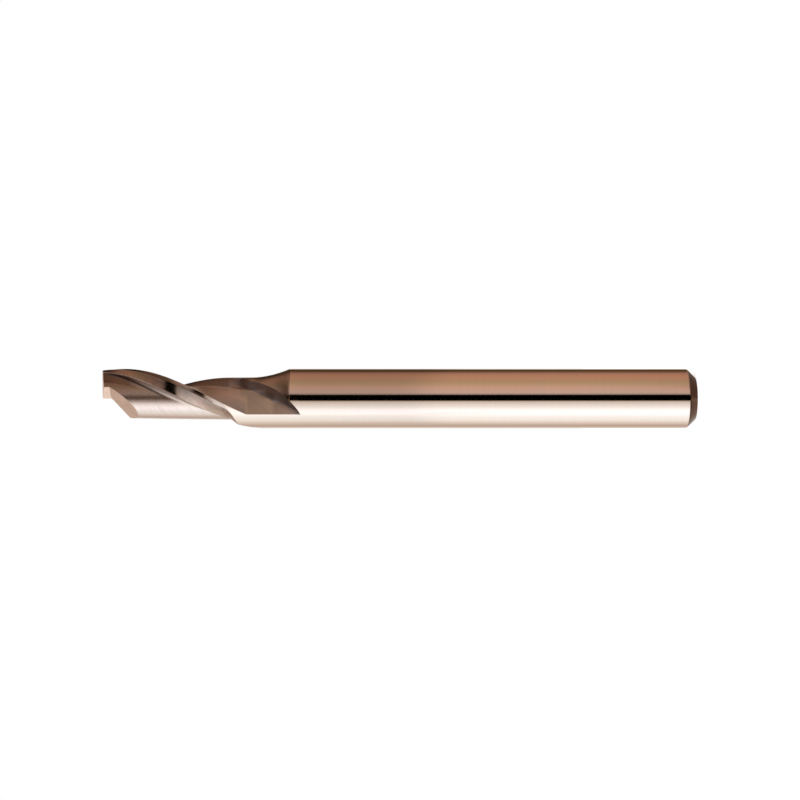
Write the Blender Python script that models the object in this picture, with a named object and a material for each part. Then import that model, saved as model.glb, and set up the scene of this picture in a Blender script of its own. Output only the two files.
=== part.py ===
"""Single flute end mill, ground from one round carbide blank.

Metres, +Z up. The tool stands on its shank end at the origin, with the cutting tip on top.
A right-hand helix: the cutting edge turns anticlockwise on its way up, seen from the tip.
Places along the tool are given as s, the distance from the tip, and places around it as
angles from the cutting edge: behind the edge on the tooth and body, ahead of it in the flute.
"""
from math import ceil, cos, pi, radians, sin, sqrt, tan

import bmesh
import bpy
from mathutils import Matrix, Vector

# Blank
LENGTH = 0.0600
DIAMETER = 0.0060
SHANK_CHAMFER = 0.00085
CHAMFER_SOFTENING = 0.00030

# Helix
LEAD = 0.0370
EDGE_ANGLE_AT_TIP = radians(23)
EDGE_END = 0.0149

# Flute, ground ahead of the cutting edge
FLUTE_WIDTH = radians(103)
CORE_DIAMETER = 0.0024
RAKE_BLEND = radians(52)
HEEL_BLEND = radians(30)
HEEL_SHARE = 0.33
HOLLOW_START = 0.0080
HOLLOW_END = 0.0165
FLUTE_RUNOUT_START = 0.0142
FLUTE_END = 0.0203
RUNOUT_TAPER = 0.75
RUNOUT_RISE = 2.0

# Tooth, the raised land behind the cutting edge
MARGIN_WIDTH = radians(8.5)
PRIMARY_RELIEF = radians(12)
SECONDARY_RELIEF = radians(40)
TOOTH_WIDTH_AT_TIP = radians(20.5)
TOOTH_WIDTH = radians(37)
TOOTH_WALL = radians(22)
RELIEF_END = 0.0124
RELIEF_SLANT = 0.0016
RELIEF_RUNOUT = 0.0008

# Body, ground down behind the tooth and flared out to the shank
BODY_DIAMETER_AT_TIP = 0.0037
BODY_DIAMETER_AT_NECK = 0.0043
FLARE_START = 0.0154
FLARE_END = 0.0191
FLARE_CURVE = 1.8

# End teeth
END_DISH = radians(4)
END_CLEARANCE = radians(12)
GASH_DEPTH = 0.00125
GASH_SLOPE = radians(55)
HEEL_NOTCH_DEPTH = 0.00110
HEEL_NOTCH_SLOPE = radians(55)
HEEL_NOTCH_ANGLE = radians(76)
END_STOCK = 0.0005
CUTTER_REACH = 0.0090

# Mesh fineness
STATION_STEP = 0.00033
MARGIN_STEPS = 3
TOOTH_STEPS = 6
WALL_STEPS = 6
BODY_STEPS = 32
HEEL_STEPS = 6
FLOOR_STEPS = 5
RAKE_STEPS = 9
SOFTENING_STEPS = 3
MERGE_DISTANCE = 1e-6
SHARP_ANGLE = radians(28)

# Finish
COATED_CARBIDE = (0.46, 0.31, 0.22, 1.0)
ROUGHNESS = 0.22

RADIUS = DIAMETER / 2
CORE_RADIUS = CORE_DIAMETER / 2


def share(value, start, end):
    """How far value has come from start to end, between 0 and 1."""
    return min(1.0, max(0.0, (value - start) / (end - start)))


def edge_angle(s):
    """Angle about +Z of the cutting edge, or of its continuation on the shank."""
    return EDGE_ANGLE_AT_TIP - 2 * pi * min(s, FLUTE_END) / LEAD


def flute_span(s):
    """Angles ahead of the cutting edge at which the flute begins and ends.

    Past the end of the cutting edge the near side runs straight along the tool, so it falls
    behind the helix, while the width closes to nothing.
    """
    near = 2 * pi * max(0.0, min(s, FLUTE_END) - EDGE_END) / LEAD
    width = FLUTE_WIDTH * (1 - share(s, FLUTE_RUNOUT_START, FLUTE_END)) ** RUNOUT_TAPER
    return near, near + width


def floor_radius(s):
    """The floor rises to the blank on the curve of the grinding wheel as it leaves the cut."""
    run = share(s, FLUTE_RUNOUT_START, FLUTE_END)
    return CORE_RADIUS + (RADIUS - CORE_RADIUS) * run ** RUNOUT_RISE


def body_radius(s):
    tip, neck = BODY_DIAMETER_AT_TIP / 2, BODY_DIAMETER_AT_NECK / 2
    ground = tip + (neck - tip) * sqrt(share(s, 0.0, FLARE_START))
    return ground + (RADIUS - ground) * share(s, FLARE_START, FLARE_END) ** FLARE_CURVE


def tooth_width(s):
    return TOOTH_WIDTH_AT_TIP + (TOOTH_WIDTH - TOOTH_WIDTH_AT_TIP) * share(s, 0.0, RELIEF_END)


def relieved_radius(angle):
    """Radius of the two relief flats behind the cutting edge."""
    if angle <= MARGIN_WIDTH:
        return RADIUS * cos(PRIMARY_RELIEF) / cos(PRIMARY_RELIEF - angle)
    corner = RADIUS * cos(PRIMARY_RELIEF) / cos(PRIMARY_RELIEF - MARGIN_WIDTH)
    flat = corner * cos(SECONDARY_RELIEF - MARGIN_WIDTH)
    return flat / cos(SECONDARY_RELIEF - min(angle, SECONDARY_RELIEF))


def tooth_radius(s, angle):
    """Relief flats on the cutting length, the full round of the blank past their run-out."""
    if angle <= 0:
        return RADIUS
    end = RELIEF_END + RELIEF_SLANT * sqrt(angle / TOOTH_WIDTH)
    lift = share(s, end - RELIEF_RUNOUT, end)
    relieved = relieved_radius(angle)
    return relieved + (RADIUS - relieved) * lift


def section(s):
    """One cross-section as (angle behind the edge, radius), all round from the cutting edge."""
    near, far = flute_span(s)
    start, width = -near, tooth_width(s)
    margin = start + MARGIN_WIDTH * (width - start) / width
    heel = 2 * pi - far
    body, floor = body_radius(s), floor_radius(s)
    points = []
    for i in range(MARGIN_STEPS):
        angle = start + (margin - start) * i / MARGIN_STEPS
        points.append((angle, tooth_radius(s, angle)))
    for i in range(TOOTH_STEPS):
        angle = margin + (width - margin) * i / TOOTH_STEPS
        points.append((angle, tooth_radius(s, angle)))
    top = tooth_radius(s, width)
    for i in range(WALL_STEPS):
        turn = pi / 2 * (1 - i / WALL_STEPS)
        radius = body + (top - body) * (1 - cos(turn))
        points.append((width + TOOTH_WALL * (1 - sin(turn)), radius))
    foot = width + TOOTH_WALL
    for i in range(BODY_STEPS):
        points.append((foot + (heel - foot) * i / BODY_STEPS, body))
    heel_blend = min(HEEL_BLEND, HEEL_SHARE * (far - near))
    rake_blend = min(RAKE_BLEND, far - near - heel_blend)
    hollow = share(s, HOLLOW_START, HOLLOW_END)
    for i in range(HEEL_STEPS):
        turn = pi / 2 * (1 - i / HEEL_STEPS)
        points.append((heel + heel_blend * (1 - sin(turn)), floor + (body - floor) * (1 - cos(turn))))
    floor_start, floor_end = heel + heel_blend, 2 * pi - near - rake_blend
    for i in range(FLOOR_STEPS):
        points.append((floor_start + (floor_end - floor_start) * i / FLOOR_STEPS, floor))
    for i in range(RAKE_STEPS):
        turn = pi / 2 * i / RAKE_STEPS
        rise = (1 - hollow) * (1 - cos(turn)) + hollow * sin(turn) ** 2
        points.append((floor_end + rake_blend * sin(turn), floor + (RADIUS - floor) * rise))
    return points


def stations():
    """Distances from the tip, with the limit that the blank and its 45-degree chamfer set on
    the radius there.
    """
    steps = ceil((FLUTE_END + END_STOCK) / STATION_STEP)
    for i in range(steps + 1):
        yield -END_STOCK + (FLUTE_END + END_STOCK) * i / steps, RADIUS
    bend = pi / 4
    tangent = CHAMFER_SOFTENING * tan(bend / 2)
    for i in range(SOFTENING_STEPS + 1):
        turn = bend * i / SOFTENING_STEPS
        along = LENGTH - SHANK_CHAMFER - tangent + CHAMFER_SOFTENING * sin(turn)
        yield along, RADIUS - CHAMFER_SOFTENING * (1 - cos(turn))
    yield LENGTH, RADIUS - SHANK_CHAMFER


def loft_tool():
    """The blank with its flute, tooth and body: cross-sections joined ring to ring."""
    bm = bmesh.new()
    rings = []
    for s, limit in stations():
        turn = edge_angle(s)
        ring = []
        for angle, radius in section(s):
            r = min(radius, limit)
            ring.append(bm.verts.new((r * cos(turn - angle), r * sin(turn - angle), LENGTH - s)))
        rings.append(ring)
    count = len(rings[0])
    for upper, lower in zip(rings, rings[1:]):
        for i in range(count):
            j = (i + 1) % count
            bm.faces.new((upper[i], upper[j], lower[j], lower[i]))
    bm.faces.new(rings[0])
    bm.faces.new(rings[-1])
    bmesh.ops.remove_doubles(bm, verts=bm.verts, dist=MERGE_DISTANCE)
    bmesh.ops.recalc_face_normals(bm, faces=bm.faces)
    return object_from(bm, "end_mill")


def object_from(bm, name):
    mesh = bpy.data.meshes.new(name)
    bm.to_mesh(mesh)
    bm.free()
    return bpy.data.objects.new(name, mesh)


def end_frame(angle):
    """Frame at the tip: X out along the given angle, Y behind it, Z up the tool."""
    return Matrix.Translation((0, 0, LENGTH)) @ Matrix.Rotation(angle, 4, "Z")


def prism(name, outline, reach):
    """An outline in the YZ plane, extruded both ways along X."""
    bm = bmesh.new()
    face = bm.faces.new([bm.verts.new((-reach, y, z)) for y, z in outline])
    grown = bmesh.ops.extrude_face_region(bm, geom=[face])["geom"]
    moved = [item for item in grown if isinstance(item, bmesh.types.BMVert)]
    bmesh.ops.translate(bm, verts=moved, vec=(2 * reach, 0, 0))
    bmesh.ops.recalc_face_normals(bm, faces=bm.faces)
    return object_from(bm, name)


def notch_cutter(name, trace, side, depth, slope):
    """A notch through the tip: one wall along the axis, one slope that falls away from it.

    trace is the angle of the notch's root line about +Z, and side is 1 or -1 for the side of
    that line on which the notch opens.
    """
    reach = CUTTER_REACH
    top = END_STOCK + reach
    outline = [(0, -depth), (0, top), (side * reach, top), (side * reach, -depth - reach * tan(slope))]
    cutter = prism(name, outline, reach)
    cutter.matrix_world = end_frame(trace)
    return cutter


def end_clearance_cutter():
    """Trims the end to the dished cutting edge, with clearance behind it."""
    reach = CUTTER_REACH
    outline = [(-reach, reach * tan(END_CLEARANCE)), (reach, -reach * tan(END_CLEARANCE)),
               (reach, 2 * reach), (-reach, 2 * reach)]
    cutter = prism("end_clearance", outline, reach)
    corner = Vector((RADIUS, 0, 0))
    dish = Matrix.Rotation(-END_DISH, 4, "Y")
    behind = Matrix.Rotation(pi, 4, "X") @ Matrix.Scale(-1, 4, Vector((0, 0, 1)))
    cutter.matrix_world = end_frame(EDGE_ANGLE_AT_TIP) @ Matrix.Translation(corner) @ dish @ behind
    return cutter


def cut(tool, cutter):
    boolean = tool.modifiers.new(cutter.name, "BOOLEAN")
    boolean.operation = "DIFFERENCE"
    boolean.solver = "EXACT"
    boolean.object = cutter
    cutter.hide_render = True
    cutter.display_type = "WIRE"


def coated_carbide():
    material = bpy.data.materials.new("coated_carbide")
    material.use_nodes = True
    shader = material.node_tree.nodes["Principled BSDF"]
    shader.inputs["Base Color"].default_value = COATED_CARBIDE
    shader.inputs["Metallic"].default_value = 1.0
    shader.inputs["Roughness"].default_value = ROUGHNESS
    return material


def new_collection(name):
    collection = bpy.data.collections.new(name)
    bpy.context.scene.collection.children.link(collection)
    return collection


def main():
    for item in list(bpy.data.objects):
        bpy.data.objects.remove(item, do_unlink=True)
    parts = new_collection("single_flute_end_mill")
    cutters = new_collection("cutters")

    tool = loft_tool()
    parts.objects.link(tool)
    ends = [
        end_clearance_cutter(),
        notch_cutter("end_gash", EDGE_ANGLE_AT_TIP, 1, GASH_DEPTH, GASH_SLOPE),
        notch_cutter("heel_notch", EDGE_ANGLE_AT_TIP - HEEL_NOTCH_ANGLE, -1,
                     HEEL_NOTCH_DEPTH, HEEL_NOTCH_SLOPE),
    ]
    for cutter in ends:
        cutters.objects.link(cutter)
        cut(tool, cutter)

    tool.data.shade_smooth()
    tool.data.set_sharp_from_angle(angle=SHARP_ANGLE)
    tool.data.materials.append(coated_carbide())


main()
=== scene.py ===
"""Looks of the single flute end mill: a fine ground surface in place of the faceted solid.

Metres, +Z up the tool. Places along the tool are given as s, the distance from the tip, and
places around it as angles behind the cutting edge, as the tool grinder would set them.
"""
from math import atan2, ceil, cos, hypot, pi, radians, sin, tan

import bmesh
import bpy
from mathutils import Matrix, Vector


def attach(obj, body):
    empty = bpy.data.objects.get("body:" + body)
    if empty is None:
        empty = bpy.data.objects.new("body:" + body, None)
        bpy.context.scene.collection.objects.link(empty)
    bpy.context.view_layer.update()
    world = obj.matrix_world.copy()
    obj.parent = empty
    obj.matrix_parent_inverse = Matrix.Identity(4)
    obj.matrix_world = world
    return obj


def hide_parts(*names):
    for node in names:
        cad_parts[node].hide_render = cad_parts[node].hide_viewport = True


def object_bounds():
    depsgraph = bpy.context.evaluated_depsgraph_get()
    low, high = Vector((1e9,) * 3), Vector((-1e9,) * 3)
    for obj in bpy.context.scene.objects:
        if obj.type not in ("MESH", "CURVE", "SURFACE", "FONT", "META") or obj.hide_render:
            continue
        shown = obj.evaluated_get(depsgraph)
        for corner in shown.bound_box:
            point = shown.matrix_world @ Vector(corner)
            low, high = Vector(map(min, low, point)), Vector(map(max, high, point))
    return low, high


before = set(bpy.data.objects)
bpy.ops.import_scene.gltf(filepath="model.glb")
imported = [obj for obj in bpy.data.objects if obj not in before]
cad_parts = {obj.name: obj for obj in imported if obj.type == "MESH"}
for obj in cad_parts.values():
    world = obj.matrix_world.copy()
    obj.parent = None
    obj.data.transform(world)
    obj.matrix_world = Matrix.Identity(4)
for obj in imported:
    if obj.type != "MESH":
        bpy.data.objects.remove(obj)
CAD_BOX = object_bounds()

# Blank, as long as the solid in the frame
LENGTH = CAD_BOX[1][2] - CAD_BOX[0][2]
RADIUS = 0.0030
SHANK_CHAMFER = 0.00085
CHAMFER_SOFTENING = 0.00030

# Helix
LEAD = 0.0370
EDGE_ANGLE_AT_TIP = radians(23)
EDGE_END = 0.0149

# Flute, ground ahead of the cutting edge
FLUTE_WIDTH = radians(103)
CORE_RADIUS = 0.00120
FLUTE_RUNOUT_START = 0.0142
FLUTE_END = 0.0203
RUNOUT_TAPER = 0.75
RUNOUT_RISE = 2.0

# Wall of the flute at the heel. Its width and its curve change just before the run-out and again
# in the run-out, and it takes up no more than HEEL_SHARE of the flute.
HEEL_WIDTH = radians(30)
HEEL_CURVE = 1.25
HEEL_CHANGE = (0.0130, 0.0141)
RUNOUT_HEEL_CHANGE = (0.0148, 0.0178)
RUNOUT_HEEL_WIDTHS = (radians(20), radians(36))
RUNOUT_HEEL_CURVES = (2.6, 1.25)
HEEL_SHARE = 0.62

# Tooth, the raised land behind the cutting edge
MARGIN_WIDTH = radians(8.5)
PRIMARY_RELIEF = radians(12)
SECONDARY_RELIEF = radians(40)
TOOTH_WIDTH_AT_TIP = radians(20.5)
TOOTH_WIDTH = radians(37)
TOOTH_WALL_AT_TIP = radians(20)
TOOTH_WALL = radians(7)
RELIEF_END = 0.0124
RELIEF_SLANT = 0.0016
RELIEF_CURVE = 0.5
RELIEF_RUNOUT = 0.0008

# Body, ground down behind the tooth and flared out to the shank
BODY_RADIUS_AT_TIP = 0.00185
BODY_RADIUS_AT_NECK = 0.00215
BODY_CURVE = 0.5
FLARE_START = 0.0154
FLARE_END = 0.0191
FLARE_CURVE = 1.8

# End teeth
END_DISH = radians(4)
END_CLEARANCE = radians(12)
GASH_DEPTH = 0.00125
GASH_SLOPE = radians(55)
HEEL_NOTCH_DEPTH = 0.00110
HEEL_NOTCH_SLOPE = radians(55)
HEEL_NOTCH_ANGLE = radians(76)
END_STOCK = 0.0005
CUT_REACH = 3 * RADIUS

# Ridges, where the coating is thin and the edge scatters light
RIM_WIDTH = 0.00010
RIM_METALLIC = 0.25
RIM_ROUGHNESS = 0.45
RIM_ATTRIBUTE = "rim"

# Mesh, its fineness and its UV map
STATION_STEP = 0.00013
MARGIN_STEPS = 6
TOOTH_STEPS = 14
WALL_STEPS = 16
BODY_STEPS = 100
HEEL_STEPS = 14
RAKE_STEPS = 52
SOFTENING_STEPS = 6
MERGE_DISTANCE = 1e-6
SHARP_ANGLE = radians(28)
UNROLLED_MAP = "ground"

# Camera
FRAME_PIXELS = 800
SENSOR_MM = 36.0
PIXELS_PER_METRE = 9900.0
CAMERA_DISTANCE = 0.196
CAMERA_HEIGHT = 0.02976
AXIS_PIXELS_ABOVE_CENTRE = 1.4
CLIP_START = 0.01

# Floor and lamp
FLOOR_RADIUS = 0.12
FLOOR_SEGMENTS = 96
FLOOR_COLOUR = (0.8, 0.8, 0.8)
FLOOR_GLOW = 0.85
LAMP_SIZE = 0.25
LAMP_POWER = 1.0
LAMP_PLACE = (0.0, -0.42, 0.50)

# Surround, as (degrees from the photograph's up round by the viewer, colour)
SURROUND_STRENGTH = 2.86
BACKDROP_COLOUR = (1.0, 1.0, 1.0)
SURROUND = [
    (270, (0.45, 0.43, 0.41)),
    (254, (0.36, 0.35, 0.34)),
    (240, (0.34, 0.33, 0.32)),
    (228, (0.28, 0.25, 0.23)),
    (220, (0.27, 0.24, 0.22)),
    (212, (0.32, 0.30, 0.29)),
    (200, (0.40, 0.395, 0.40)),
    (187, (0.48, 0.53, 0.56)),
    (177, (0.52, 0.59, 0.65)),
    (165, (0.54, 0.63, 0.70)),
    (150, (0.68, 0.75, 0.88)),
    (135, (0.66, 0.72, 0.83)),
    (123, (0.50, 0.56, 0.62)),
    (107, (0.38, 0.395, 0.41)),
    (101, (0.30, 0.29, 0.28)),
    (98.5, (0.20, 0.18, 0.16)),
    (97, (0.0, 0.0, 0.0)),
    (75.5, (0.0, 0.0, 0.0)),
    (73.5, (0.16, 0.14, 0.13)),
    (66, (0.26, 0.21, 0.20)),
    (45, (0.265, 0.19, 0.155)),
    (32, (0.22, 0.165, 0.12)),
    (19, (0.195, 0.143, 0.094)),
    (-1, (0.215, 0.127, 0.09)),
    (-14, (0.20, 0.115, 0.08)),
    (-26, (0.153, 0.093, 0.072)),
    (-42, (0.05, 0.028, 0.013)),
    (-60, (0.03, 0.018, 0.01)),
    (-74, (0.26, 0.23, 0.20)),
    (-90, (0.45, 0.43, 0.41)),
]

# Its strength by the height of the direction, from -1, straight down, to 1, straight up. The brown
# side's holds up to SIDE_CHANGE degrees and the white side's up to BACK_CHANGE. Past that it is even.
SIDE_CHANGE = 88
BACK_CHANGE = 207
BACK_LEVEL = (0.86, 0.86, 0.86)
WHITE_FALLOFF = [
    (-0.95, (0.04, 0.04, 0.04)),
    (-0.75, (0.45, 0.45, 0.45)),
    (-0.50, (0.88, 0.88, 0.88)),
    (-0.04, (0.88, 0.88, 0.88)),
    (-0.02, (0.77, 0.77, 0.77)),
    (0.14, (0.88, 0.86, 0.82)),
    (0.28, (0.70, 0.67, 0.64)),
    (0.37, (0.56, 0.53, 0.50)),
    (0.50, (0.35, 0.33, 0.31)),
    (0.58, (0.20, 0.17, 0.15)),
    (0.68, (0.17, 0.12, 0.10)),
    (0.76, (0.07, 0.035, 0.022)),
    (1.0, (0.04, 0.02, 0.012)),
]
BROWN_FALLOFF = [
    (-0.95, (0.08, 0.08, 0.08)),
    (-0.75, (0.50, 0.50, 0.50)),
    (-0.14, (1.0, 1.0, 1.0)),
    (-0.04, (1.0, 1.0, 1.0)),
    (-0.02, (0.77, 0.77, 0.77)),
    (0.055, (0.75, 0.75, 0.75)),
    (0.067, (1.0, 1.0, 1.0)),
    (0.09, (1.0, 1.0, 1.0)),
    (0.125, (0.26, 0.28, 0.28)),
    (0.20, (0.26, 0.28, 0.28)),
    (0.29, (0.55, 0.54, 0.54)),
    (0.37, (0.57, 0.56, 0.56)),
    (0.45, (0.42, 0.42, 0.42)),
    (0.64, (0.42, 0.42, 0.42)),
    (0.80, (0.25, 0.25, 0.25)),
    (1.0, (0.15, 0.15, 0.15)),
]

# Warm light from low down on the brown side, and a warm band over the gap a little above level
BELOW_HEIGHTS = (-0.30, -0.19)
BELOW_ANGLE = 50
BELOW_COLOUR = (0.112, 0.090, 0.077)
BAND_HEIGHTS = [(0.085, 0.0), (0.105, 1.0), (0.17, 1.0), (0.21, 0.0)]
BAND_ANGLES = (74, 114)
BAND_COLOUR = (0.085, 0.056, 0.038)

# Material slots of the tool
SHANK, FLUTE, TOOTH, BODY, END, CHAMFER = range(6)

# Grinding marks and drifts of the coating
MARK_DETAIL = 3.0
MARK_ROUGHNESS = 0.6
MARK_RANGE = (0.3, 0.7)
CLOUDS_PER_METRE = 260.0
CLOUD_DETAIL = 2.0
CLOUD_RANGE = (0.35, 0.65)

# A patch of painted shade darkens the unrolled surface by a tint. Its border is soft between the two
# limits around, the two along and the two of its far end. WHOLE and NO_END are limits that leave no border.
SHADE_PATCH_LIMITS = ("From around", "To around", "From along", "To along", "From end", "To end")
WHOLE = (-0.001, 0.0)
NO_END = (1.0, 0.9)

# Finishes in the order of the slots. Marks are drawn on the unrolled surface (metres around,
# metres along) or in the object's own space. Depth is how far the marks darken the coating, relief
# is their height in metres, and roughness is given on the bright lines and between them.
FINISHES = [
    ("shank_polish", {
        "coating": (0.72, 0.57, 0.47), "thin": (0.73, 0.565, 0.46), "depth": 0.03,
        "roughness": (0.05, 0.08), "unrolled": True, "slant": 0.0, "lines": (40.0, 5200.0, 0.0),
        "relief": 1.0e-7}),
    ("flute_grind", {
        "coating": (0.98, 0.80, 0.68), "thin": (0.95, 0.75, 0.66), "depth": 0.14,
        "roughness": (0.36, 0.46), "unrolled": True, "slant": radians(14), "lines": (4200.0, 260.0, 0.0),
        "relief": 1.5e-6,
        # Painted shade on the flute: the heel's wall darkened up to the run-out, the heel side of the run-out
        # darker, and the far side darker and cooler towards the run-out.
        "painted_shades": [((0.0151, 0.0147), WHOLE, (0.0172, 0.0160), (0.38, 0.35, 0.34)),
                  ((0.0164, 0.0158), (0.0158, 0.0170), NO_END, (0.46, 0.39, 0.35)),
                  ((0.0149, 0.0152), (0.0112, 0.0128), NO_END, (0.75, 0.80, 0.85))]}),
    ("tooth_grind", {
        "coating": (0.72, 0.57, 0.48), "thin": (0.71, 0.54, 0.47), "depth": 0.22,
        "roughness": (0.10, 0.18), "unrolled": True, "slant": 0.0, "lines": (3800.0, 2400.0, 0.0),
        "relief": 1.2e-6,
        # Painted shade on the tooth: a darker band part way along it, and darker behind the margin towards
        # the relief's end.
        "painted_shades": [(WHOLE, (0.0036, 0.0056), (0.0080, 0.0072), (0.62, 0.57, 0.52)),
                  ((0.0003, 0.0009), (0.0076, 0.0110), NO_END, (0.63, 0.54, 0.48))]}),
    ("body_grind", {
        "coating": (0.70, 0.56, 0.475), "thin": (0.69, 0.535, 0.465), "depth": 0.12,
        "roughness": (0.20, 0.28), "unrolled": True, "slant": radians(-28), "lines": (500.0, 4200.0, 0.0),
        "relief": 1.0e-6,
        # Painted shade on the body: darker beside the tooth near the tip, and by the heel where the flare
        # meets the shank.
        "painted_shades": [((0.0026, 0.0019), (0.0042, 0.0030), NO_END, (0.56, 0.48, 0.44)),
                  ((0.0128, 0.0140), (0.0176, 0.0187), NO_END, (0.52, 0.44, 0.40))]}),
    ("end_grind", {
        "coating": (0.90, 0.67, 0.53), "thin": (0.88, 0.63, 0.50), "depth": 0.12,
        "roughness": (0.38, 0.5), "unrolled": False, "slant": radians(20), "lines": (800.0, 4200.0, 800.0),
        "relief": 1.0e-6}),
    # Painted shade: the chamfer's coating colour is made far darker than the rest of the coating, for the
    # shade at the shank's end.
    ("chamfer_grind_painted_shade", {
        "coating": (0.170, 0.100, 0.066), "thin": (0.208, 0.115, 0.075), "depth": 0.15,
        "roughness": (0.16, 0.26), "unrolled": False, "slant": 0.0, "lines": (2600.0, 2600.0, 5200.0),
        "relief": 0.8e-6}),
]


def share(value, start, end):
    """How far value has come from start to end, between 0 and 1."""
    return min(1.0, max(0.0, (value - start) / (end - start)))


def between(start, end, part):
    """The value that lies the given part of the way from start to end."""
    return start + (end - start) * part


def edge_angle(s):
    """Angle about +Z of the cutting edge, or of its continuation on the shank."""
    return EDGE_ANGLE_AT_TIP - 2 * pi * min(s, FLUTE_END) / LEAD


def flute_span(s):
    """Angles ahead of the cutting edge at which the flute begins and ends."""
    near = 2 * pi * max(0.0, min(s, FLUTE_END) - EDGE_END) / LEAD
    width = FLUTE_WIDTH * (1 - share(s, FLUTE_RUNOUT_START, FLUTE_END)) ** RUNOUT_TAPER
    return near, near + width


def floor_radius(s):
    return between(CORE_RADIUS, RADIUS, share(s, FLUTE_RUNOUT_START, FLUTE_END) ** RUNOUT_RISE)


def body_radius(s):
    rise = share(s, 0.0, FLARE_START) ** BODY_CURVE
    ground = between(BODY_RADIUS_AT_TIP, BODY_RADIUS_AT_NECK, rise)
    return between(ground, RADIUS, share(s, FLARE_START, FLARE_END) ** FLARE_CURVE)


def tooth_width(s):
    return between(TOOTH_WIDTH_AT_TIP, TOOTH_WIDTH, share(s, 0.0, RELIEF_END))


def tooth_wall(s):
    return between(TOOTH_WALL_AT_TIP, TOOTH_WALL, share(s, 0.0, RELIEF_END))


def relief_end(angle):
    """Distance from the tip at which the relief runs out, at an angle behind the edge."""
    return RELIEF_END + RELIEF_SLANT * (max(angle, 0.0) / TOOTH_WIDTH) ** RELIEF_CURVE


def relieved_radius(angle):
    """Radius of the two relief flats behind the cutting edge."""
    if angle <= MARGIN_WIDTH:
        return RADIUS * cos(PRIMARY_RELIEF) / cos(PRIMARY_RELIEF - angle)
    corner = RADIUS * cos(PRIMARY_RELIEF) / cos(PRIMARY_RELIEF - MARGIN_WIDTH)
    flat = corner * cos(SECONDARY_RELIEF - MARGIN_WIDTH)
    return flat / cos(SECONDARY_RELIEF - min(angle, SECONDARY_RELIEF))


def tooth_radius(s, angle):
    """Relief flats on the cutting length, the full round of the blank past their run-out."""
    if angle <= 0:
        return RADIUS
    end = relief_end(angle)
    return between(relieved_radius(angle), RADIUS, share(s, end - RELIEF_RUNOUT, end))


def chord(start, end, part):
    """A point on the straight line between two (angle, radius) points of the fourth quarter."""
    x = start[1] * cos(start[0]) * (1 - part) + end[1] * cos(end[0]) * part
    y = start[1] * sin(start[0]) * (1 - part) + end[1] * sin(end[0]) * part
    return 2 * pi + atan2(y, x), hypot(x, y)


def heel_wall(s):
    """Angle that the heel's wall takes up, and the power of its fall to the flute's floor."""
    near, far = flute_span(s)
    changed, in_runout = share(s, *HEEL_CHANGE), share(s, *RUNOUT_HEEL_CHANGE)
    width = between(HEEL_WIDTH, between(*RUNOUT_HEEL_WIDTHS, in_runout), changed)
    curve = between(HEEL_CURVE, between(*RUNOUT_HEEL_CURVES, in_runout), changed)
    return min(width, HEEL_SHARE * (far - near)), curve


def section(s):
    """One cross-section as (angle behind the edge, radius), round from the edge."""
    near, far = flute_span(s)
    start, width = -near, tooth_width(s)
    margin = start + MARGIN_WIDTH * (width - start) / width
    top, body, floor = tooth_radius(s, width), body_radius(s), floor_radius(s)
    foot, heel = width + tooth_wall(s), 2 * pi - far
    points = []
    for begin, end, steps in ((start, margin, MARGIN_STEPS), (margin, width, TOOTH_STEPS)):
        for i in range(steps):
            angle = between(begin, end, i / steps)
            points.append((angle, tooth_radius(s, angle)))
    for i in range(WALL_STEPS):
        turn = pi / 2 * (1 - i / WALL_STEPS)
        points.append((between(width, foot, 1 - sin(turn)), between(body, top, 1 - cos(turn))))
    for i in range(BODY_STEPS):
        points.append((between(foot, heel, i / BODY_STEPS), body))
    heel_width, curve = heel_wall(s)
    for i in range(HEEL_STEPS):
        down = i / HEEL_STEPS
        points.append((heel + heel_width * down, between(floor, body, (1 - down) ** curve)))
    corner, edge = (heel + heel_width, floor), (2 * pi - near, RADIUS)
    points.extend(chord(corner, edge, i / RAKE_STEPS) for i in range(RAKE_STEPS))
    return points


def rim(s, angle, radius):
    """How near a point is to the tooth's back ridge or the heel, from 0 to 1 on the ridge."""
    width, far = tooth_width(s), flute_span(s)[1]
    ridges = []
    if s < FLUTE_RUNOUT_START:
        ridges.append((2 * pi - far, body_radius(s)))
    if tooth_radius(s, width) > body_radius(s) + RIM_WIDTH:
        ridges.append((width, tooth_radius(s, width)))
    reach = [hypot((angle - a) * RADIUS, radius - r) for a, r in ridges]
    return max(0.0, 1 - min(reach) / RIM_WIDTH) if reach else 0.0


def head_stations():
    steps = ceil((FLUTE_END + END_STOCK) / STATION_STEP)
    return [-END_STOCK + (FLUTE_END + END_STOCK) * i / steps for i in range(steps + 1)]


def shank_stations():
    """Distances from the tip and radii from the run-out to the chamfered end."""
    bend = pi / 4
    tangent = CHAMFER_SOFTENING * tan(bend / 2)
    for i in range(SOFTENING_STEPS + 1):
        turn = bend * i / SOFTENING_STEPS
        along = LENGTH - SHANK_CHAMFER - tangent + CHAMFER_SOFTENING * sin(turn)
        yield along, RADIUS - CHAMFER_SOFTENING * (1 - cos(turn))
    yield LENGTH, RADIUS - SHANK_CHAMFER


def ring(bm, points, s, limit):
    """A closed ring shaped to a cross-section, not yet turned to its place on the helix."""
    made = bmesh.ops.create_circle(bm, cap_ends=False, segments=len(points), radius=RADIUS)
    around, along = bm.verts.layers.float["around"], bm.verts.layers.float["along"]
    worn = bm.verts.layers.float[RIM_ATTRIBUTE]
    for vert, (angle, radius) in zip(made["verts"], points):
        r = min(radius, limit)
        vert.co = (r * cos(-angle), r * sin(-angle), LENGTH - s)
        vert[around] = angle
        vert[along] = s
        vert[worn] = rim(s, angle, radius)
    edges = {edge for vert in made["verts"] for edge in vert.link_edges}
    return made["verts"], list(edges)


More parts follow.
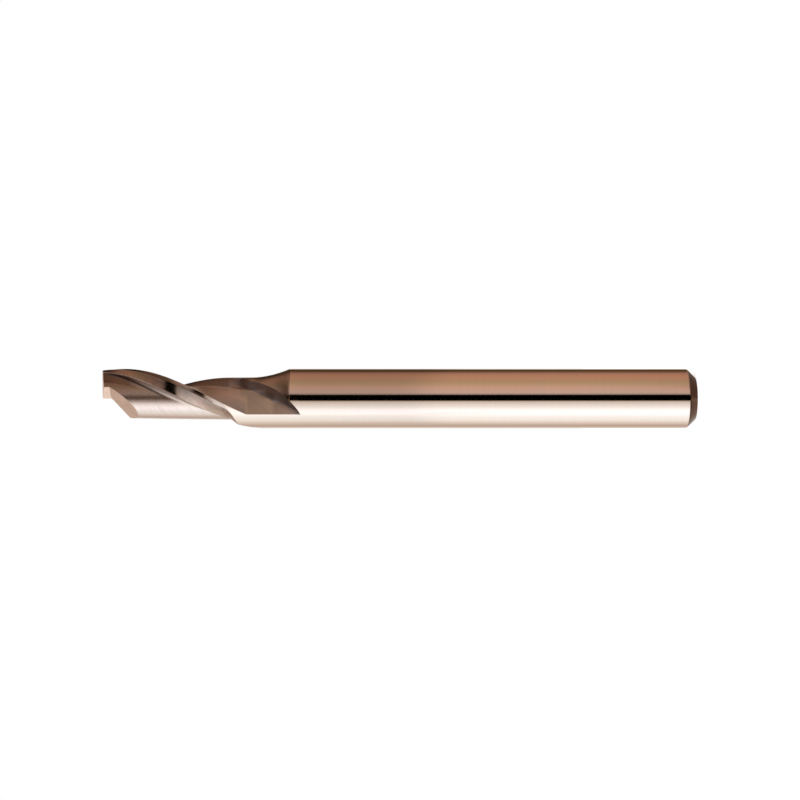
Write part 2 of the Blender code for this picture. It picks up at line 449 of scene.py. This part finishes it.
def face_angles(face, around):
    """Angles of the face's corners, running on past a full turn where the ring closes."""
    angles = [vert[around] for vert in face.verts]
    if max(angles) - min(angles) > pi:
        angles = [angle + 2 * pi if angle < pi else angle for angle in angles]
    return angles


def unroll(bm, around, along):
    """Lays the surface out flat as a UV map, in metres around and metres along."""
    uv = bm.loops.layers.uv.new(UNROLLED_MAP)
    for face in bm.faces:
        for loop, angle in zip(face.loops, face_angles(face, around)):
            loop[uv].uv = (angle * RADIUS, loop.vert[along])


def mark_slots(bm, around, along):
    """Gives each face the finish of the ground surface that it lies on."""
    for face in bm.faces:
        s = sum(vert[along] for vert in face.verts) / len(face.verts)
        angles = face_angles(face, around)
        angle = sum(angles) / len(angles)
        far = flute_span(s)[1]
        if s > LENGTH - SHANK_CHAMFER:
            face.material_index = CHAMFER
        elif s > FLUTE_END:
            face.material_index = SHANK
        elif angle > 2 * pi - far:
            face.material_index = FLUTE
        elif angle < tooth_width(s):
            face.material_index = TOOTH if s < relief_end(angle) and angle > 0 else SHANK
        else:
            face.material_index = BODY if s < FLARE_END else SHANK


def loft_tool():
    """The ground blank: rings bridged from tip to shank end, then twisted to the helix."""
    bm = bmesh.new()
    around = bm.verts.layers.float.new("around")
    along = bm.verts.layers.float.new("along")
    bm.verts.layers.float.new(RIM_ATTRIBUTE)
    stops = [(s, RADIUS) for s in head_stations()] + list(shank_stations())
    previous = None
    for s, limit in stops:
        verts, edges = ring(bm, section(s), s, limit)
        if previous is None:
            bm.faces.new(verts)
        else:
            bmesh.ops.bridge_loops(bm, edges=previous + edges)
        previous = edges
    bm.faces.new(verts)
    mark_slots(bm, around, along)
    unroll(bm, around, along)
    for vert in bm.verts:
        turn = Matrix.Rotation(edge_angle(vert[along]), 3, "Z")
        vert.co = turn @ vert.co
    bmesh.ops.remove_doubles(bm, verts=bm.verts, dist=MERGE_DISTANCE)
    bmesh.ops.recalc_face_normals(bm, faces=bm.faces)
    return bm


def mesh_object(bm, name):
    mesh = bpy.data.meshes.new(name)
    bm.to_mesh(mesh)
    bm.free()
    obj = bpy.data.objects.new(name, mesh)
    bpy.context.scene.collection.objects.link(obj)
    return obj


def end_frame(angle):
    """Frame at the tip: X out along the given angle, Y ahead of it, Z up the tool."""
    return Matrix.Translation((0, 0, LENGTH)) @ Matrix.Rotation(angle, 4, "Z")


def prism(name, outline, place):
    """A grinding cut as a solid: an outline in the YZ plane, extruded both ways along X."""
    bm = bmesh.new()
    face = bm.faces.new([bm.verts.new((-CUT_REACH, y, z)) for y, z in outline])
    grown = bmesh.ops.extrude_face_region(bm, geom=[face])["geom"]
    moved = [item for item in grown if isinstance(item, bmesh.types.BMVert)]
    bmesh.ops.translate(bm, verts=moved, vec=(2 * CUT_REACH, 0, 0))
    bmesh.ops.transform(bm, matrix=place, verts=bm.verts)
    bmesh.ops.recalc_face_normals(bm, faces=bm.faces)
    for face in bm.faces:
        face.material_index = END
    return mesh_object(bm, name)


def notch_cut(name, trace, side, depth, slope):
    """A notch beside a line across the end, deepening away from it to the given side."""
    far, top = side * CUT_REACH, END_STOCK + CUT_REACH
    outline = [(0, -depth), (0, top), (far, top), (far, -depth - CUT_REACH * tan(slope))]
    return prism(name, outline, end_frame(trace))


def end_clearance_cut():
    """All that lies past the end face, which falls away behind the edge and towards the centre."""
    fall, top = CUT_REACH * tan(END_CLEARANCE), 2 * CUT_REACH
    outline = [(CUT_REACH, fall), (-CUT_REACH, -fall), (-CUT_REACH, top), (CUT_REACH, top)]
    corner = Matrix.Translation((RADIUS, 0, 0))
    place = end_frame(EDGE_ANGLE_AT_TIP) @ corner @ Matrix.Rotation(-END_DISH, 4, "Y")
    return prism("end_clearance", outline, place)


def grind_end(tool, materials):
    """Takes each end cut out of the tool and keeps the result as its mesh.

    The cuts carry the tool's materials, so that the ground faces keep their slot.
    """
    cuts = [
        end_clearance_cut(),
        notch_cut("end_gash", EDGE_ANGLE_AT_TIP, 1, GASH_DEPTH, GASH_SLOPE),
        notch_cut("heel_notch", EDGE_ANGLE_AT_TIP - HEEL_NOTCH_ANGLE, -1,
                  HEEL_NOTCH_DEPTH, HEEL_NOTCH_SLOPE),
    ]
    for cut in cuts:
        for material in materials:
            cut.data.materials.append(material)
        boolean = tool.modifiers.new(cut.name, "BOOLEAN")
        boolean.operation = "DIFFERENCE"
        boolean.solver = "EXACT"
        boolean.object = cut
    graph = bpy.context.evaluated_depsgraph_get()
    ground = bpy.data.meshes.new_from_object(tool.evaluated_get(graph))
    tool.modifiers.clear()
    tool.data = ground
    for cut in cuts:
        bpy.data.objects.remove(cut, do_unlink=True)


def feed(tree, socket, source):
    """Links a socket to another one, or gives it a value."""
    if isinstance(source, bpy.types.NodeSocket):
        tree.links.new(source, socket)
    else:
        socket.default_value = source


def feed_inputs(tree, node, inputs):
    for label, source in inputs.items():
        feed(tree, node.inputs[label], source)


def calculate(tree, operation, *sources):
    """The result of a math node that is fed with sockets or numbers."""
    node = tree.nodes.new("ShaderNodeMath")
    node.operation = operation
    for socket, source in zip(node.inputs, sources):
        feed(tree, socket, source)
    return node.outputs[0]


def calculate_vector(tree, operation, *sources):
    """The result of a vector math node, whose sources fill the inputs that its operation uses."""
    node = tree.nodes.new("ShaderNodeVectorMath")
    node.operation = operation
    used = [socket for socket in node.inputs if socket.enabled]
    for socket, source in zip(used, sources):
        feed(tree, socket, source)
    return node.outputs["Vector"]


def map_range(tree, value, low, high, to_low, to_high):
    node = tree.nodes.new("ShaderNodeMapRange")
    feed_inputs(tree, node, {
        "Value": value, "From Min": low, "From Max": high, "To Min": to_low, "To Max": to_high})
    return node.outputs["Result"]


def mix(tree, factor, first, second, kind="RGBA", blend="MIX"):
    """The first colour or value, changed by the second as far as the factor says."""
    node = tree.nodes.new("ShaderNodeMix")
    node.data_type = kind
    node.blend_type = blend
    feed_inputs(tree, node, {"Factor": factor, "A": first, "B": second})
    return node.outputs["Result"]


def noise(tree, vector, scale, detail, roughness=0.5):
    node = tree.nodes.new("ShaderNodeTexNoise")
    feed_inputs(tree, node, {"Vector": vector, "Scale": scale, "Detail": detail, "Roughness": roughness})
    return node.outputs["Fac"]


def split_axes(tree, vector):
    node = tree.nodes.new("ShaderNodeSeparateXYZ")
    tree.links.new(vector, node.inputs[0])
    return node.outputs


def opaque(colour):
    return (*colour, 1.0)


def new_group(name, inputs, outputs):
    """A node group, and the sockets inside it that stand for its named inputs and outputs."""
    group = bpy.data.node_groups.new(name, "ShaderNodeTree")
    for side, sockets in (("INPUT", inputs), ("OUTPUT", outputs)):
        for label, kind in sockets.items():
            group.interface.new_socket(label, in_out=side, socket_type="NodeSocket" + kind)
    given = group.nodes.new("NodeGroupInput").outputs
    results = group.nodes.new("NodeGroupOutput").inputs
    return group, given, results


def use_group(tree, group, inputs):
    """The outputs of a node group that a material uses with inputs of its own."""
    node = tree.nodes.new("ShaderNodeGroup")
    node.node_tree = group
    feed_inputs(tree, node, inputs)
    return node.outputs


def grinding_marks():
    """Lines left by the grinding wheel: noise that is drawn out along one direction."""
    group, given, results = new_group(
        "grinding_marks",
        {"Vector": "Vector", "Slant": "Float", "Lines per metre": "Vector"},
        {"Lines": "Float"},
    )
    turn = group.nodes.new("ShaderNodeVectorRotate")
    turn.rotation_type = "Z_AXIS"
    feed_inputs(group, turn, {"Vector": given["Vector"], "Angle": given["Slant"]})
    drawn_out = calculate_vector(group, "MULTIPLY", turn.outputs["Vector"], given["Lines per metre"])
    grain = noise(group, drawn_out, 1.0, MARK_DETAIL, MARK_ROUGHNESS)
    group.links.new(map_range(group, grain, *MARK_RANGE, 0.0, 1.0), results["Lines"])
    return group


def coating_tone():
    """The coating's colour, drifting a little over the tool and broken up along the marks."""
    group, given, results = new_group(
        "coating_tone",
        {"Vector": "Vector", "Lines": "Float", "Coating": "Color", "Thin coating": "Color", "Depth": "Float"},
        {"Color": "Color"},
    )
    cloud = noise(group, given["Vector"], CLOUDS_PER_METRE, CLOUD_DETAIL)
    amount = map_range(group, cloud, *CLOUD_RANGE, 0.0, 1.0)
    drift = mix(group, amount, given["Coating"], given["Thin coating"])
    below_lines = calculate(group, "SUBTRACT", given["Lines"], 1.0)
    shade = calculate(group, "MULTIPLY_ADD", below_lines, given["Depth"], 1.0)
    group.links.new(calculate_vector(group, "SCALE", drift, shade), results["Color"])
    return group


def painted_shade_patch():
    """A patch of painted shade: the unrolled surface darkened by a tint, with soft borders."""
    group, given, results = new_group(
        "painted_shade_patch",
        {"Vector": "Vector", "Color": "Color", "Tint": "Color", **dict.fromkeys(SHADE_PATCH_LIMITS, "Float")},
        {"Color": "Color"},
    )
    limits = [given[label] for label in SHADE_PATCH_LIMITS]
    around, along = split_axes(group, given["Vector"])[:2]
    amount = map_range(group, around, *limits[0:2], 0.0, 1.0)
    for border in (limits[2:4], limits[4:6]):
        amount = calculate(group, "MULTIPLY", amount, map_range(group, along, *border, 0.0, 1.0))
    shaded = mix(group, amount, given["Color"], given["Tint"], blend="MULTIPLY")
    group.links.new(shaded, results["Color"])
    return group


def rim_wear():
    """Roughness along the marks, and the duller, rougher line where a ridge has lost its coating."""
    group, given, results = new_group(
        "rim_wear",
        {"Lines": "Float", "Roughness": "Float", "Roughness on lines": "Float"},
        {"Metallic": "Float", "Roughness": "Float"},
    )
    attribute = group.nodes.new("ShaderNodeAttribute")
    attribute.attribute_name = RIM_ATTRIBUTE
    worn = attribute.outputs["Fac"]
    marked = mix(group, given["Lines"], given["Roughness"], given["Roughness on lines"], "FLOAT")
    group.links.new(map_range(group, worn, 0.0, 1.0, 1.0, RIM_METALLIC), results["Metallic"])
    group.links.new(mix(group, worn, marked, RIM_ROUGHNESS, "FLOAT"), results["Roughness"])
    return group


def ground_finish(name, groups, look):
    """One finish: the coating's tone with its patches of painted shade, the marks of its grinding and how
    they blur a reflection.
    """
    material = bpy.data.materials.new(name)
    material.use_nodes = True
    tree = material.node_tree
    shader = tree.nodes["Principled BSDF"]
    place = tree.nodes.new("ShaderNodeTexCoord").outputs["Object"]
    vector = place
    if look["unrolled"]:
        surface = tree.nodes.new("ShaderNodeUVMap")
        surface.uv_map = UNROLLED_MAP
        vector = surface.outputs["UV"]
    lines = use_group(tree, groups["marks"], {
        "Vector": vector, "Slant": look["slant"], "Lines per metre": look["lines"]})["Lines"]
    colour = use_group(tree, groups["tone"], {
        "Vector": place, "Lines": lines, "Depth": look["depth"],
        "Coating": opaque(look["coating"]), "Thin coating": opaque(look["thin"])})["Color"]
    # Patches of painted shade, each multiplying the colour by its tint
    for around, along, far_end, shade_tint in look.get("painted_shades", []):
        limits = dict(zip(SHADE_PATCH_LIMITS, (*around, *along, *far_end)))
        colour = use_group(tree, groups["patch_of_shade"], {
            "Vector": vector, "Color": colour, "Tint": opaque(shade_tint), **limits})["Color"]
    smooth, rough = look["roughness"]
    wear = use_group(tree, groups["wear"], {
        "Lines": lines, "Roughness": rough, "Roughness on lines": smooth})
    bump = tree.nodes.new("ShaderNodeBump")
    feed_inputs(tree, bump, {"Distance": look["relief"], "Height": lines})
    feed_inputs(tree, shader, {
        "Base Color": colour, "Metallic": wear["Metallic"], "Roughness": wear["Roughness"],
        "Normal": bump.outputs["Normal"]})
    return material


def tool_finishes():
    groups = {"marks": grinding_marks(), "tone": coating_tone(), "patch_of_shade": painted_shade_patch(), "wear": rim_wear()}
    return [ground_finish(name, groups, look) for name, look in FINISHES]


def make_tool():
    tool = mesh_object(loft_tool(), "ground_tool")
    materials = tool_finishes()
    for material in materials:
        tool.data.materials.append(material)
    grind_end(tool, materials)
    tool.data.shade_smooth()
    tool.data.set_sharp_from_angle(angle=SHARP_ANGLE)
    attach(tool, "root")
    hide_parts("end_mill")


def colour_ramp(tree, value, stops):
    """A ramp through (position, colour) pairs, read at the value."""
    ramp = tree.nodes.new("ShaderNodeValToRGB")
    elements = ramp.color_ramp.elements
    while len(elements) > 1:
        elements.remove(elements[-1])
    for i, (position, colour) in enumerate(stops):
        stop = elements[0] if i == 0 else elements.new(position)
        stop.position = position
        stop.color = opaque(colour)
    tree.links.new(value, ramp.inputs["Fac"])
    return ramp.outputs["Color"]


def height_ramp(tree, height, levels):
    """A ramp whose stops are given by the height of the direction, from -1 to 1."""
    return colour_ramp(tree, height, [((level + 1) / 2, colour) for level, colour in levels])


def turn_share(angle):
    """Place of a surround angle on the way round, from 0 to 1."""
    return (270 - angle) / 360


def past_angle(tree, spread, angle):
    """A mask that is 1 where the surround has gone past the angle, round by the viewer."""
    return calculate(tree, "LESS_THAN", spread, turn_share(angle))


def overlay(tree, base, colour, mask, other_mask):
    """The base with a colour laid over it where both masks are 1."""
    return mix(tree, calculate(tree, "MULTIPLY", mask, other_mask), base, opaque(colour))


def surround_colour(tree):
    """A soft white side below, a warm dim side above and a gap at the viewer."""
    direction = tree.nodes.new("ShaderNodeTexCoord").outputs["Generated"]
    x, y, z = split_axes(tree, direction)
    toward_viewer = calculate(tree, "MULTIPLY", y, -1.0)
    spread = map_range(tree, calculate(tree, "ARCTAN2", x, toward_viewer), -pi, pi, 0.0, 1.0)
    height = map_range(tree, z, -1.0, 1.0, 0.0, 1.0)
    sides = colour_ramp(tree, spread, [(turn_share(angle), colour) for angle, colour in SURROUND])
    brown = height_ramp(tree, height, BROWN_FALLOFF)
    white = height_ramp(tree, height, WHITE_FALLOFF)
    falloff = mix(tree, past_angle(tree, spread, SIDE_CHANGE), brown, white)
    falloff = mix(tree, past_angle(tree, spread, BACK_CHANGE), falloff, opaque(BACK_LEVEL))
    faded = calculate_vector(tree, "MULTIPLY", sides, falloff)
    low = map_range(tree, z, *BELOW_HEIGHTS, 1.0, 0.0)
    brown_side = calculate(tree, "SUBTRACT", 1.0, past_angle(tree, spread, BELOW_ANGLE))
    warmed = overlay(tree, faded, BELOW_COLOUR, low, brown_side)
    band = height_ramp(tree, height, [(level, (amount,) * 3) for level, amount in BAND_HEIGHTS])
    opened, closed = (past_angle(tree, spread, angle) for angle in BAND_ANGLES)
    gap = calculate(tree, "SUBTRACT", opened, closed)
    return overlay(tree, warmed, BAND_COLOUR, band, gap)


def choose_by_ray(tree, kind, other, chosen):
    """One shader for the rays of a kind, such as Is Camera Ray, and another for the rest."""
    path = tree.nodes.new("ShaderNodeLightPath")
    choose = tree.nodes.new("ShaderNodeMixShader")
    for socket, source in zip(choose.inputs, (path.outputs[kind], other, chosen)):
        tree.links.new(source, socket)
    return choose.outputs[0]


def light_surround():
    """The studio surround, which the camera sees as plain white."""
    world = bpy.data.worlds.new("studio")
    bpy.context.scene.world = world
    world.use_nodes = True
    tree = world.node_tree
    tree.nodes.clear()
    light = tree.nodes.new("ShaderNodeBackground")
    light.inputs["Strength"].default_value = SURROUND_STRENGTH
    tree.links.new(surround_colour(tree), light.inputs["Color"])
    white = tree.nodes.new("ShaderNodeBackground")
    white.inputs["Color"].default_value = opaque(BACKDROP_COLOUR)
    seen = choose_by_ray(tree, "Is Camera Ray", light.outputs[0], white.outputs[0])
    output = tree.nodes.new("ShaderNodeOutputWorld")
    tree.links.new(seen, output.inputs["Surface"])


def floor_finish():
    """Pale floor that keeps a shadow, reads as white in the open and isn't mirrored in the tool."""
    material = bpy.data.materials.new("pale_floor")
    material.use_nodes = True
    tree = material.node_tree
    tree.nodes.clear()
    diffuse = tree.nodes.new("ShaderNodeBsdfDiffuse")
    diffuse.inputs["Color"].default_value = opaque(FLOOR_COLOUR)
    glow = tree.nodes.new("ShaderNodeEmission")
    glow.inputs["Strength"].default_value = FLOOR_GLOW
    lifted = tree.nodes.new("ShaderNodeAddShader")
    tree.links.new(diffuse.outputs[0], lifted.inputs[0])
    tree.links.new(glow.outputs[0], lifted.inputs[1])
    clear = tree.nodes.new("ShaderNodeBsdfTransparent")
    seen = choose_by_ray(tree, "Is Camera Ray", diffuse.outputs[0], lifted.outputs[0])
    seen = choose_by_ray(tree, "Is Glossy Ray", seen, clear.outputs[0])
    output = tree.nodes.new("ShaderNodeOutputMaterial")
    tree.links.new(seen, output.inputs["Surface"])
    return material


def lay_floor():
    bm = bmesh.new()
    bmesh.ops.create_circle(bm, cap_ends=True, segments=FLOOR_SEGMENTS, radius=FLOOR_RADIUS)
    floor = mesh_object(bm, "floor")
    floor.data.materials.append(floor_finish())


def hang_lamp():
    """One soft lamp above, for the shadow on the floor. It isn't mirrored in the tool."""
    data = bpy.data.lights.new("soft_lamp", "AREA")
    data.shape = "DISK"
    data.size = LAMP_SIZE
    data.energy = LAMP_POWER
    lamp = bpy.data.objects.new("soft_lamp", data)
    lamp.location = LAMP_PLACE
    aim = Vector((0, 0, LENGTH / 2)) - lamp.location
    lamp.rotation_euler = aim.to_track_quat("-Z", "Y").to_euler()
    lamp.visible_glossy = False
    bpy.context.scene.collection.objects.link(lamp)


def place_camera():
    """Level with the tool and rolled so that the tip lies to the left."""
    data = bpy.data.cameras.new("camera")
    data.sensor_width = SENSOR_MM
    data.lens = PIXELS_PER_METRE * CAMERA_DISTANCE / FRAME_PIXELS * SENSOR_MM
    data.clip_start = CLIP_START
    camera = bpy.data.objects.new("camera", data)
    below_axis = AXIS_PIXELS_ABOVE_CENTRE / PIXELS_PER_METRE
    right, up, back = Vector((0, 0, -1)), Vector((1, 0, 0)), Vector((0, -1, 0))
    turn = Matrix((right, up, back)).transposed().to_4x4()
    camera.matrix_world = Matrix.Translation((-below_axis, -CAMERA_DISTANCE, CAMERA_HEIGHT)) @ turn
    bpy.context.scene.collection.objects.link(camera)
    bpy.context.scene.camera = camera


place_camera()
light_surround()
lay_floor()
hang_lamp()
make_tool()

bpy.context.scene.view_settings.view_transform = "Standard"
